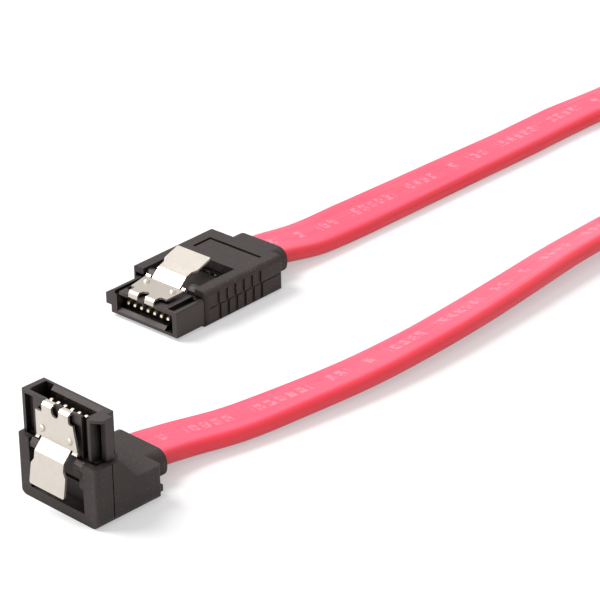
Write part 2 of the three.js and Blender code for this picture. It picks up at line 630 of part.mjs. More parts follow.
class CableCurve extends THREE.CatmullRomCurve3 {
  constructor(route) {
    super(route.map(([x, y, z]) => new THREE.Vector3(x, y, z)));
    this.rolls = route.map(([, , , roll]) => THREE.MathUtils.degToRad(roll));
    this.arcLengthDivisions = 600;
  }

  rollAt(u) {
    const place = this.getUtoTmapping(u) * (this.rolls.length - 1);
    const i = Math.min(Math.floor(place), this.rolls.length - 2);
    return THREE.MathUtils.lerp(this.rolls[i], this.rolls[i + 1], place - i);
  }

  computeFrenetFrames(segments) {
    const up = new THREE.Vector3(0, 0, 1);
    const frames = { tangents: [], normals: [], binormals: [] };
    for (let i = 0; i <= segments; i += 1) {
      const tangent = this.getTangentAt(i / segments);
      const across = up.clone().cross(tangent).normalize().applyAxisAngle(tangent, this.rollAt(i / segments));
      frames.tangents.push(tangent);
      frames.normals.push(across);
      frames.binormals.push(tangent.clone().cross(across));
    }
    return frames;
  }
}

function cable() {
  const round = CABLE_THICK / 2;
  const reach = CABLE_WIDTH / 2 - round;
  const perEnd = CABLE_SIDES / 2 - 1;
  const points = [];
  for (const side of [1, -1]) {
    for (let i = 0; i <= perEnd; i += 1) {
      const angle = (i / perEnd - 0.5) * Math.PI;
      points.push([side * (reach + round * Math.cos(angle)), side * round * Math.sin(angle)]);
    }
  }
  const extrudePath = new CableCurve(CABLE_ROUTE);
  return toSolid(new THREE.ExtrudeGeometry(outline(points), { steps: CABLE_STEPS, extrudePath }));
}

// Assembly

function plug(prefix, depths, padRise, moulding, sleeve, wire) {
  const pieces = [mesh(`${prefix}_contact_housing`, contactHousing(depths), FINISHES.housing())];
  for (let i = 0; i < CONTACT_COUNT; i += 1) {
    pieces.push(mesh(`${prefix}_contact_${i + 1}`, contact(i, depths.tails), FINISHES.gold()));
  }
  pieces.push(mesh(`${prefix}_latch_spring`, latchSpring(padRise), FINISHES.steel()));
  pieces.push(mesh(`${prefix}_overmould`, moulding, FINISHES.moulding()));
  pieces.push(mesh(`${prefix}_solder_sleeve`, sleeve, FINISHES.sleeve()));
  let cores = 0;
  let drains = 0;
  for (let i = 0; i < CONTACT_COUNT; i += 1) {
    if (DRAINS.has(i)) {
      drains += 1;
      pieces.push(mesh(`${prefix}_drain_${drains}`, wire(contactX(i), DRAIN_DIAMETER), FINISHES.copper()));
    } else {
      cores += 1;
      pieces.push(mesh(`${prefix}_core_${cores}`, wire(contactX(i), CORE_DIAMETER), FINISHES.core()));
    }
  }
  return pieces;
}

function placed(pieces, matrix) {
  for (const piece of pieces) {
    piece.geometry.applyMatrix4(matrix);
  }
  return pieces;
}

const layFlat = new THREE.Matrix4().makeBasis(
  new THREE.Vector3(0, -1, 0), new THREE.Vector3(0, 0, 1), new THREE.Vector3(-1, 0, 0))
  .setPosition(0, 0, -STRAIGHT_LOW);
const standUp = new THREE.Matrix4().makeRotationZ(Math.PI / 2 + ANGLED_PLACE.turn)
  .setPosition(ANGLED_PLACE.x, ANGLED_PLACE.y, ANGLED_HEIGHT);

const straightPieces = plug(
  'straight', STRAIGHT_DEPTHS, STRAIGHT_PAD_RISE, straightMoulding(), straightSleeve(), straightWire);
const angledPieces = plug(
  'angled', ANGLED_DEPTHS, ANGLED_PAD_RISE, angledMoulding(), angledSleeve(), angledWire);
const plugs = [...placed(straightPieces, layFlat), ...placed(angledPieces, standUp)];

// The origin sits on the surface, in the middle of the two plugs.
const bounds = new THREE.Box3();
for (const piece of plugs) {
  piece.geometry.computeBoundingBox();
  bounds.union(piece.geometry.boundingBox);
}
const middle = bounds.getCenter(new THREE.Vector3());
const toOrigin = new THREE.Matrix4().makeTranslation(-middle.x, -middle.y, -bounds.min.z);

const group = new THREE.Group();
group.name = 'flat_data_cable';
group.add(...placed([...plugs, mesh('cable', cable(), FINISHES.cable())], toOrigin));

export default group;
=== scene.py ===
"""Dresses a flat data cable with a straight plug, a right-angle plug and their spring latches.

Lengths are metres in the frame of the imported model.
"""
import logging
import math
from dataclasses import dataclass, field
from enum import Enum
from typing import Sequence

import bmesh
import bpy
from mathutils import Matrix, Quaternion, Vector


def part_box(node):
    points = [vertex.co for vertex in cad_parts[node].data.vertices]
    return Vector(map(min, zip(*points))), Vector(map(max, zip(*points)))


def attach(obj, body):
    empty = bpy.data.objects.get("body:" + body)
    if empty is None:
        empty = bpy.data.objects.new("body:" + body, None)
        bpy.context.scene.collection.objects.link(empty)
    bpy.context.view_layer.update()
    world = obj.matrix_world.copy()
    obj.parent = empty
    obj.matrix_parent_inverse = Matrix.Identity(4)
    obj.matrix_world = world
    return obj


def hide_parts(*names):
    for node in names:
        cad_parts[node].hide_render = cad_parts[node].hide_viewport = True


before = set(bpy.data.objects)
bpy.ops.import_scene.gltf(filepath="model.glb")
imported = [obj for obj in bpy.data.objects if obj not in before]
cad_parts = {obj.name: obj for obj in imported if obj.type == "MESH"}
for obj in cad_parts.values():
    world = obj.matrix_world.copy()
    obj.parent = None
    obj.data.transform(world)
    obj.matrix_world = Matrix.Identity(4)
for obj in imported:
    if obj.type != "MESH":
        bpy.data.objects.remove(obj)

LOG = logging.getLogger("flat_cable")
MM = 0.001
ROOT_BODY = "cable_and_plugs"

CONTACT_COUNT = 7
CONTACT_PITCH = 1.27 * MM
CORE_COUNT = 4
DRAIN_COUNT = 3

WELD_DISTANCE = 1e-7
SAME_FLAT_ANGLE = 1.5  # degrees


class Handed(Enum):
    """The two plugs, named as their CAD nodes are."""

    STRAIGHT = "straight"
    ANGLED = "angled"


# Node trees and finishes

EVENLY = (1.0, 1.0, 1.0)


class ShaderGraph:
    """A material's node tree around one Principled shader."""

    def __init__(self, name: str) -> None:
        """Makes an empty material.

        Args:
            name: The material's name.
        """
        self.material = bpy.data.materials.new(name)
        self.material.use_nodes = True
        self.tree = self.material.node_tree
        self.tree.nodes.clear()
        self.output = self.tree.nodes.new("ShaderNodeOutputMaterial")
        self.shader = self.tree.nodes.new("ShaderNodeBsdfPrincipled")
        self.link(self.shader.outputs["BSDF"], self.output.inputs["Surface"])
        self.coordinates = self.tree.nodes.new("ShaderNodeTexCoord")

    def link(self, source: bpy.types.NodeSocket, target: bpy.types.NodeSocket) -> None:
        """Joins two sockets.

        Args:
            source: An output.
            target: The input that it feeds.
        """
        self.tree.links.new(source, target)

    def set(self, **values: object) -> None:
        """Sets the shader's own sockets.

        Args:
            **values: Values by socket name, with underscores for its spaces.
        """
        for name, value in values.items():
            self.shader.inputs[name.replace("_", " ")].default_value = value

    def stretched(self, source: str, scale: Sequence[float]) -> bpy.types.NodeSocket:
        """Scales a coordinate.

        Args:
            source: An output of the Texture Coordinate node.
            scale: Scale along x, y and z.

        Returns:
            The scaled coordinate's socket.
        """
        mapping = self.tree.nodes.new("ShaderNodeMapping")
        mapping.inputs["Scale"].default_value = scale
        self.link(self.coordinates.outputs[source], mapping.inputs["Vector"])
        return mapping.outputs["Vector"]

    def noise(self, vector: bpy.types.NodeSocket, scale: float, detail: float = 3.0,
              roughness: float = 0.55) -> bpy.types.NodeSocket:
        """Adds noise.

        Args:
            vector: Where to sample it.
            scale: How fine it is.
            detail: How many finer layers it has.
            roughness: How strong those are.

        Returns:
            Its value's socket, mostly between 0.3 and 0.7.
        """
        node = self.tree.nodes.new("ShaderNodeTexNoise")
        node.inputs["Scale"].default_value = scale
        node.inputs["Detail"].default_value = detail
        node.inputs["Roughness"].default_value = roughness
        self.link(vector, node.inputs["Vector"])
        return node.outputs["Fac"]

    def between(self, value: bpy.types.NodeSocket, low: float, high: float, to_low: float,
                to_high: float) -> bpy.types.NodeSocket:
        """Maps a value's range to another, smoothly and clamped.

        Args:
            value: The value to map.
            low: Where its range starts.
            high: Where its range ends.
            to_low: What the start becomes.
            to_high: What the end becomes.

        Returns:
            The mapped value's socket.
        """
        node = self.tree.nodes.new("ShaderNodeMapRange")
        node.interpolation_type = "SMOOTHSTEP"
        settings = {"From Min": low, "From Max": high, "To Min": to_low, "To Max": to_high}
        for name, setting in settings.items():
            node.inputs[name].default_value = setting
        self.link(value, node.inputs["Value"])
        return node.outputs["Result"]

    def math(self, operation: str, first: bpy.types.NodeSocket,
             second: "bpy.types.NodeSocket | float" = 0.0) -> bpy.types.NodeSocket:
        """Joins two values with one operation.

        Args:
            operation: The Math node's operation.
            first: The first value.
            second: The second value, as a socket or a number.

        Returns:
            The result's socket.
        """
        node = self.tree.nodes.new("ShaderNodeMath")
        node.operation = operation
        self.link(first, node.inputs[0])
        if isinstance(second, float):
            node.inputs[1].default_value = second
        else:
            self.link(second, node.inputs[1])
        return node.outputs["Value"]

    def mix(self, factor: bpy.types.NodeSocket, first: "bpy.types.NodeSocket | tuple",
            second: "bpy.types.NodeSocket | tuple") -> bpy.types.NodeSocket:
        """Mixes two colours, each given as a socket or as red, green and blue.

        Args:
            factor: 0 for the first and 1 for the second.
            first: The first colour.
            second: The second colour.

        Returns:
            The mixed colour's socket.
        """
        node = self.tree.nodes.new("ShaderNodeMix")
        node.data_type = "RGBA"
        self.link(factor, node.inputs["Factor"])
        for name, colour in (("A", first), ("B", second)):
            socket = next(s for s in node.inputs if s.name == name and s.type == "RGBA")
            if isinstance(colour, tuple):
                socket.default_value = (*colour, 1.0)
            else:
                self.link(colour, socket)
        return next(s for s in node.outputs if s.type == "RGBA")

    def hollow_shade_mask(self, reach: float) -> bpy.types.NodeSocket:
        """Finds narrow gaps and corners, as the mask for painted shade.

        Args:
            reach: How far to look for a facing wall, in metres.

        Returns:
            1 in the open and towards 0 in a gap.
        """
        node = self.tree.nodes.new("ShaderNodeAmbientOcclusion")
        node.samples = 8
        node.inputs["Distance"].default_value = reach
        return node.outputs["AO"]

    def bump(self, height: bpy.types.NodeSocket, depth: float,
             under: "bpy.types.NodeSocket | None" = None) -> bpy.types.NodeSocket:
        """Adds fine relief.

        Args:
            height: The relief, 0 to 1.
            depth: Its depth in metres.
            under: The normal of relief that lies below it.

        Returns:
            The normal's socket.
        """
        node = self.tree.nodes.new("ShaderNodeBump")
        node.inputs["Distance"].default_value = depth
        node.inputs["Strength"].default_value = 1.0
        self.link(height, node.inputs["Height"])
        if under is not None:
            self.link(under, node.inputs["Normal"])
        return node.outputs["Normal"]

    def done(self, colour: bpy.types.NodeSocket, roughness: bpy.types.NodeSocket,
             normal: bpy.types.NodeSocket) -> bpy.types.Material:
        """Joins the three to the shader.

        Args:
            colour: The base colour.
            roughness: The roughness.
            normal: The normal.

        Returns:
            The finished material.
        """
        self.link(colour, self.shader.inputs["Base Color"])
        self.link(roughness, self.shader.inputs["Roughness"])
        self.link(normal, self.shader.inputs["Normal"])
        return self.material


@dataclass(frozen=True)
class MouldedPlastic:
    """Dark moulded plastic: fine grain, soft mottling, a few pale specks, painted shade in gaps."""

    name: str
    colour: tuple = (0.017, 0.0140, 0.0132)
    worn: tuple = (0.040, 0.032, 0.030)
    speck: tuple = (0.22, 0.20, 0.19)
    gloss: tuple = (1.0, 0.84, 0.83)
    # Colour of the painted shade in narrow gaps and corners
    shadow: tuple = (0.001, 0.001, 0.001)
    ior: float = 1.45
    roughness: float = 0.60
    spread: float = 0.12
    grain: float = 0.034 * MM
    grain_scale: float = 5200.0
    cloud_scale: float = 420.0
    speck_scale: float = 3900.0
    speck_level: float = 0.65
    speck_share: float = 0.5
    reach: float = 3.2 * MM
    closed: float = 0.26
    opened: float = 0.78

    def build(self) -> bpy.types.Material:
        """Makes the material."""
        graph = ShaderGraph(self.name)
        place = graph.stretched("Object", EVENLY)
        fine = graph.noise(place, self.grain_scale, 4.0, 0.6)
        cloud = graph.noise(place, self.cloud_scale, 4.0, 0.5)
        dust = graph.noise(place, self.speck_scale, 2.0, 0.5)
        tone = graph.mix(graph.between(cloud, 0.35, 0.7, 0.0, 1.0), self.colour, self.worn)
        full = self.speck_level + 0.08
        flecks = graph.between(dust, self.speck_level, full, 0.0, self.speck_share)
        colour = graph.mix(flecks, tone, self.speck)
        # Painted shade: the colour turns to the shadow colour in narrow gaps and corners
        lit = graph.between(graph.hollow_shade_mask(self.reach), self.closed, self.opened, 0.0, 1.0)
        colour = graph.mix(lit, self.shadow, colour)
        smooth, coarse = self.roughness - self.spread, self.roughness + self.spread
        rough = graph.between(cloud, 0.3, 0.75, smooth, coarse)
        graph.set(IOR=self.ior, Specular_Tint=(*self.gloss, 1.0))
        return graph.done(colour, rough, graph.bump(fine, self.grain))


@dataclass(frozen=True)
class StampedSteel:
    """Satin stainless strip with fine rolling lines and faint handling marks."""

    name: str = "stamped_stainless"
    colour: tuple = (0.60, 0.555, 0.50)
    dull: tuple = (0.53, 0.49, 0.44)
    roughness: float = 0.36
    stretch: tuple = (260.0, 9000.0, 9000.0)
    line_depth: float = 0.003 * MM
    mark_scale: float = 900.0

    def build(self) -> bpy.types.Material:
        """Makes the material."""
        graph = ShaderGraph(self.name)
        lines = graph.noise(graph.stretched("Object", self.stretch), 1.0, 3.0, 0.6)
        marks = graph.noise(graph.stretched("Object", EVENLY), self.mark_scale, 4.0, 0.6)
        colour = graph.mix(graph.between(marks, 0.45, 0.8, 0.0, 0.5), self.colour, self.dull)
        texture = graph.math("ADD", lines, graph.math("MULTIPLY", marks, 0.5))
        rough = graph.between(texture, 0.45, 1.05, self.roughness - 0.07, self.roughness + 0.10)
        graph.set(Metallic=1.0)
        return graph.done(colour, rough, graph.bump(lines, self.line_depth))


@dataclass(frozen=True)
class PlatedMetal:
    """Thin bright plating, a little uneven: gold on the contacts, tin on the drain wires."""

    name: str
    colour: tuple
    dull: tuple
    roughness: float = 0.22
    cloud_scale: float = 1600.0
    grain: float = 0.002 * MM
    grain_scale: float = 9000.0

    def build(self) -> bpy.types.Material:
        """Makes the material."""
        graph = ShaderGraph(self.name)
        place = graph.stretched("Object", EVENLY)
        cloud = graph.noise(place, self.cloud_scale, 3.0, 0.5)
        fine = graph.noise(place, self.grain_scale, 2.0, 0.5)
        colour = graph.mix(graph.between(cloud, 0.4, 0.75, 0.0, 1.0), self.colour, self.dull)
        rough = graph.between(cloud, 0.3, 0.8, self.roughness - 0.05, self.roughness + 0.12)
        graph.set(Metallic=1.0)
        return graph.done(colour, rough, graph.bump(fine, self.grain))


@dataclass(frozen=True)
class Insulation:
    """Natural white core insulation with a waxy surface."""

    name: str = "core_insulation"
    colour: tuple = (0.74, 0.71, 0.66)
    shade: tuple = (0.62, 0.58, 0.53)
    cloud_scale: float = 1300.0
    grain: float = 0.004 * MM
    grain_scale: float = 6000.0

    def build(self) -> bpy.types.Material:
        """Makes the material."""
        graph = ShaderGraph(self.name)
        place = graph.stretched("Object", EVENLY)
        cloud = graph.noise(place, self.cloud_scale, 3.0, 0.5)
        colour = graph.mix(graph.between(cloud, 0.35, 0.7, 0.0, 1.0), self.colour, self.shade)
        rough = graph.between(cloud, 0.3, 0.8, 0.35, 0.5)
        fine = graph.noise(place, self.grain_scale)
        return graph.done(colour, rough, graph.bump(fine, self.grain))


@dataclass(frozen=True)
class JacketFinish:
    """Soft red jacket: flat faces painted pale as painted light, edges deeper red as painted shade,
    faint streaks and broken printed dashes.

    The UV map runs along the cable in units of ten millimetres and across it in units of its
    width: 0 to 1 over the printed face, edge to edge, and 1 to 2 back under the other face.
    """

    name: str = "red_jacket"
    # Flat-face red, paled with painted light
    colour: tuple = (0.88, 0.086, 0.165)
    # Deeper red of the rounded edges, painted shade
    streak: tuple = (0.91, 0.118, 0.220)
    edge: tuple = (0.94, 0.040, 0.070)
    print_colour: tuple = (0.96, 0.50, 0.62)
    print_strength: float = 0.38
    ior: float = 1.55
    scatter: float = 0.5
    scatter_depth: float = 1.3 * MM
    roughness: float = 0.42
    edge_shade_start: float = 0.35
    ridges: float = 4.0
    relief: float = 0.008 * MM
    grain: float = 0.006 * MM
    grain_scale: float = 5200.0
    print_middle: float = 0.5
    print_half: float = 0.135
    repeat: float = 3.4
    groups: tuple = ((0.04, 0.26), (0.33, 0.40), (0.47, 0.60), (0.67, 0.96))
    tick_pitch: float = 0.17
    tick_share: float = 0.55

    def build(self) -> bpy.types.Material:
        """Makes the material."""
        graph = ShaderGraph(self.name)
        split = graph.tree.nodes.new("ShaderNodeSeparateXYZ")
        graph.link(graph.coordinates.outputs["UV"], split.inputs["Vector"])
        along, across = split.outputs["X"], split.outputs["Y"]
        streaks = graph.noise(graph.stretched("UV", (0.35, 26.0, 1.0)), 1.0, 4.0, 0.6)
        slow = graph.noise(graph.stretched("UV", (0.8, 2.0, 1.0)), 1.0, 3.0, 0.5)
        fine = graph.noise(graph.stretched("Object", EVENLY), self.grain_scale, 3.0, 0.6)
        base = graph.mix(graph.between(streaks, 0.42, 0.68, 0.0, 1.0), self.colour, self.streak)
        # Painted light and shade: flat faces stay pale, rounded edges turn deeper red
        outward = graph.math("PINGPONG", graph.math("SUBTRACT", across, 0.5), 0.5)
        rounding = graph.between(outward, self.edge_shade_start, self.edge_shade_start + 0.09, 0.0, 1.0)
        base = graph.mix(rounding, base, self.edge)
        ink = graph.math("MULTIPLY", self.printed(graph, along, across), self.print_strength)
        colour = graph.mix(ink, base, self.print_colour)
        rough = graph.between(slow, 0.3, 0.75, self.roughness - 0.05, self.roughness + 0.08)
        waves = graph.math("SINE", graph.math("MULTIPLY", across, self.ridges * math.tau))
        relief = graph.bump(graph.math("MULTIPLY", waves, 0.5), self.relief)
        relief = graph.bump(streaks, self.relief, relief)
        graph.set(IOR=self.ior, Subsurface_Weight=self.scatter,
                  Subsurface_Scale=self.scatter_depth, Subsurface_Radius=(1.0, 0.12, 0.12))
        return graph.done(colour, rough, graph.bump(fine, self.grain, relief))

    def printed(self, graph: ShaderGraph, along: bpy.types.NodeSocket,
                across: bpy.types.NodeSocket) -> bpy.types.NodeSocket:
        """Marks the repeated groups of short worn dashes.

        Args:
            graph: The material's nodes.
            along: Distance along the cable, in units of ten millimetres.
            across: Place across the printed face, 0 to 1.

        Returns:
            1 on a dash and 0 off it, with soft ends.
        """
        turn = graph.math("FRACT", graph.math("DIVIDE", along, self.repeat))
        place = graph.math("FRACT", graph.math("DIVIDE", along, self.tick_pitch))
        tick = graph.between(place, self.tick_share, self.tick_share + 0.2, 1.0, 0.0)
        ink = None
        for start, stop in self.groups:
            rise = graph.between(turn, start, start + 0.012, 0.0, 1.0)
            fall = graph.between(turn, stop - 0.012, stop, 1.0, 0.0)
            group = graph.math("MULTIPLY", rise, fall)
            ink = group if ink is None else graph.math("MAXIMUM", ink, group)
        offset = graph.math("ABSOLUTE", graph.math("SUBTRACT", across, self.print_middle))
        band = graph.between(offset, self.print_half - 0.035, self.print_half, 1.0, 0.0)
        cover = graph.noise(graph.stretched("UV", (14.0, 11.0, 1.0)), 1.0, 1.0, 0.5)
        worn = graph.between(cover, 0.42, 0.56, 0.15, 1.0)
        dashes = graph.math("MULTIPLY", ink, tick)
        return graph.math("MULTIPLY", dashes, graph.math("MULTIPLY", band, worn))


@dataclass(frozen=True)
class StudioPaper:
    """Pale floor that the camera and the gloss see as white, with the shadow kept."""

    name: str = "studio_paper"
    colour: tuple = (0.62, 0.61, 0.61)
    lift: float = 0.42

    def build(self) -> bpy.types.Material:
        """Makes the material."""
        graph = ShaderGraph(self.name)
        place = graph.stretched("Object", EVENLY)
        cloud = graph.noise(place, 3.0, 2.0, 0.5)
        colour = graph.mix(cloud, self.colour, tuple(v + 0.01 for v in self.colour))
        rough = graph.between(cloud, 0.0, 1.0, 0.55, 0.6)
        graph.done(colour, rough, graph.bump(cloud, 0.00001))
        rays = graph.tree.nodes.new("ShaderNodeLightPath")
        seen = graph.math("MAXIMUM", rays.outputs["Is Camera Ray"], rays.outputs["Is Glossy Ray"])
        seen = graph.math("MAXIMUM", seen, rays.outputs["Is Transmission Ray"])
        graph.set(Emission_Color=(1.0, 1.0, 1.0, 1.0))
        glow = graph.math("MULTIPLY", seen, self.lift)
        graph.link(glow, graph.shader.inputs["Emission Strength"])
        return graph.material


# Mesh helpers


@dataclass(frozen=True)
class Rounding:
    """One pass of edge rounding: how wide, in how many steps, on edges between two angles."""

    width: float
    segments: int = 2
    sharper_than: float = 35.0
    blunter_than: float = 181.0


def rounded_copy(node: str, name: str, passes: Sequence[Rounding],
                 material: bpy.types.Material) -> bpy.types.Object:
    """Copies a CAD node's mesh, merges its flats and rounds its edges.

    Args:
        node: The CAD node's name.
        name: The new piece's name.
        passes: The roundings, in order.
        material: The piece's finish.

    Returns:
        The new object, linked to the scene, with its place in its mesh.
    """
    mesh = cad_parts[node].data.copy()
    mesh.name = name
    bm = bmesh.new()
    bm.from_mesh(mesh)
    bmesh.ops.remove_doubles(bm, verts=bm.verts, dist=WELD_DISTANCE)
    bmesh.ops.dissolve_limit(bm, angle_limit=math.radians(SAME_FLAT_ANGLE), verts=bm.verts,
                             edges=bm.edges)
    for step in passes:
        edges = [e for e in bm.edges if len(e.link_faces) == 2
                 and step.sharper_than < math.degrees(e.calc_face_angle(0.0)) < step.blunter_than]
        bmesh.ops.bevel(bm, geom=edges, offset=step.width, offset_type="OFFSET",
                        segments=step.segments, profile=0.5, affect="EDGES", clamp_overlap=True,
                        miter_outer="ARC")
    bm.to_mesh(mesh)
    bm.free()
    mesh.materials.clear()
    mesh.materials.append(material)
    piece = new_piece(name, mesh)
    shade_evenly(piece)
    return piece


def new_piece(name: str, mesh: bpy.types.Mesh) -> bpy.types.Object:
    """Links a mesh to the scene as an object at the origin.

    Args:
        name: The object's name.
        mesh: Its mesh, already in place.

    Returns:
        The new object.
    """
    piece = bpy.data.objects.new(name, mesh)
    bpy.context.scene.collection.objects.link(piece)
    return piece


def shade_evenly(piece: bpy.types.Object, angle: float = 50.0) -> None:
    """Shades smooth across roundings and keeps the flats flat.

    Args:
        piece: The object.
        angle: Edges sharper than this stay sharp, in degrees.
    """
    mesh = piece.data
    mesh.shade_smooth()
    mesh.set_sharp_from_angle(angle=math.radians(angle))
    modifier = piece.modifiers.new("even_normals", "WEIGHTED_NORMAL")
    modifier.keep_sharp = True
    modifier.weight = 80


def set_finish(node: str, material: bpy.types.Material) -> None:
    """Gives a CAD node that stays shown its finish.

    Args:
        node: The node's name.
        material: The finish.
    """
    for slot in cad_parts[node].material_slots:
        slot.material = material


# Studio


@dataclass
class Studio:
    """Camera, lamps, world and floor, at the photograph's angle."""

    lens: float = 180.04
    sensor: float = 36.0
    azimuth: float = -47.633
    elevation: float = 26.672
    roll: float = -0.978
    from_rim: tuple = (-256.224 * MM, -263.191 * MM, 187.967 * MM)
    floor_half: float = 1.6
    floor_drop: float = 0.00002
    world_light: float = 0.42

    def build(self, rim: Vector) -> None:
        """Makes the camera, the lamps, the world and the floor.

        Args:
            rim: The straight plug's rim centre, at floor level.
        """
        self.camera(rim)
        self.world()
        self.lamp("key_lamp", (-0.26, 0.46, 0.74), 0.50, 7.8)
        self.lamp("side_lamp", (-0.75, -0.30, 0.55), 0.45, 1.4)
        self.floor()
        LOG.info("studio: camera, two lamps, world and floor")

    def camera(self, rim: Vector) -> None:
        """Makes the camera from its fitted angles.

        Args:
            rim: The straight plug's rim centre, at floor level.
        """
        a, e, r = (math.radians(v) for v in (self.azimuth, self.elevation, self.roll))
        right = Vector((math.cos(a), math.sin(a), 0.0))
        back = Vector((math.sin(a) * math.cos(e), -math.cos(a) * math.cos(e), math.sin(e)))
        up = back.cross(right)
        across = right * math.cos(r) + up * math.sin(r)
        upward = up * math.cos(r) - right * math.sin(r)
        data = bpy.data.cameras.new("photo_camera")
        data.lens = self.lens
        data.sensor_width = self.sensor
        data.sensor_fit = "HORIZONTAL"
        data.clip_start = 0.01
        data.clip_end = 20.0
        camera = bpy.data.objects.new("photo_camera", data)
        turn = Matrix((across, upward, back)).transposed().to_4x4()
        camera.matrix_world = Matrix.Translation(rim + Vector(self.from_rim)) @ turn
        bpy.context.scene.collection.objects.link(camera)
        bpy.context.scene.camera = camera

    def world(self) -> None:
        """Makes a white surround that lights the object softly."""
        world = bpy.data.worlds.new("studio_white")
        bpy.context.scene.world = world
        world.use_nodes = True
        tree = world.node_tree
        tree.nodes.clear()
        rays = tree.nodes.new("ShaderNodeLightPath")
        direct = tree.nodes.new("ShaderNodeMath")
        direct.operation = "MAXIMUM"
        tree.links.new(rays.outputs["Is Camera Ray"], direct.inputs[0])
        tree.links.new(rays.outputs["Is Glossy Ray"], direct.inputs[1])
        strength = tree.nodes.new("ShaderNodeMapRange")
        strength.inputs["To Min"].default_value = self.world_light
        strength.inputs["To Max"].default_value = 1.0
        tree.links.new(direct.outputs["Value"], strength.inputs["Value"])
        light = tree.nodes.new("ShaderNodeBackground")
        light.inputs["Color"].default_value = (1.0, 1.0, 1.0, 1.0)
        tree.links.new(strength.outputs["Result"], light.inputs["Strength"])
        output = tree.nodes.new("ShaderNodeOutputWorld")
        tree.links.new(light.outputs["Background"], output.inputs["Surface"])

    def lamp(self, name: str, place: Sequence[float], size: float, power: float) -> None:
        """Makes one soft lamp that points at the plugs.

        Args:
            name: The lamp's name.
            place: Where it stands.
            size: The width of its disk.
            power: Its power in watts.
        """
        data = bpy.data.lights.new(name, "AREA")
        data.shape = "DISK"
        data.size = size
        data.energy = power
        lamp = bpy.data.objects.new(name, data)
        lamp.location = place
        lamp.rotation_euler = Vector(place).to_track_quat("Z", "Y").to_euler()
        bpy.context.scene.collection.objects.link(lamp)

    def floor(self) -> None:
        """Makes the pale floor."""
        half = self.floor_half
        corners = [(-half, -half), (half, -half), (half, half), (-half, half)]
        mesh = bpy.data.meshes.new("studio_floor")
        mesh.from_pydata([(x, y, -self.floor_drop) for x, y in corners], [], [(0, 1, 2, 3)])
        mesh.materials.append(StudioPaper().build())
        new_piece("studio_floor", mesh)


# Cable


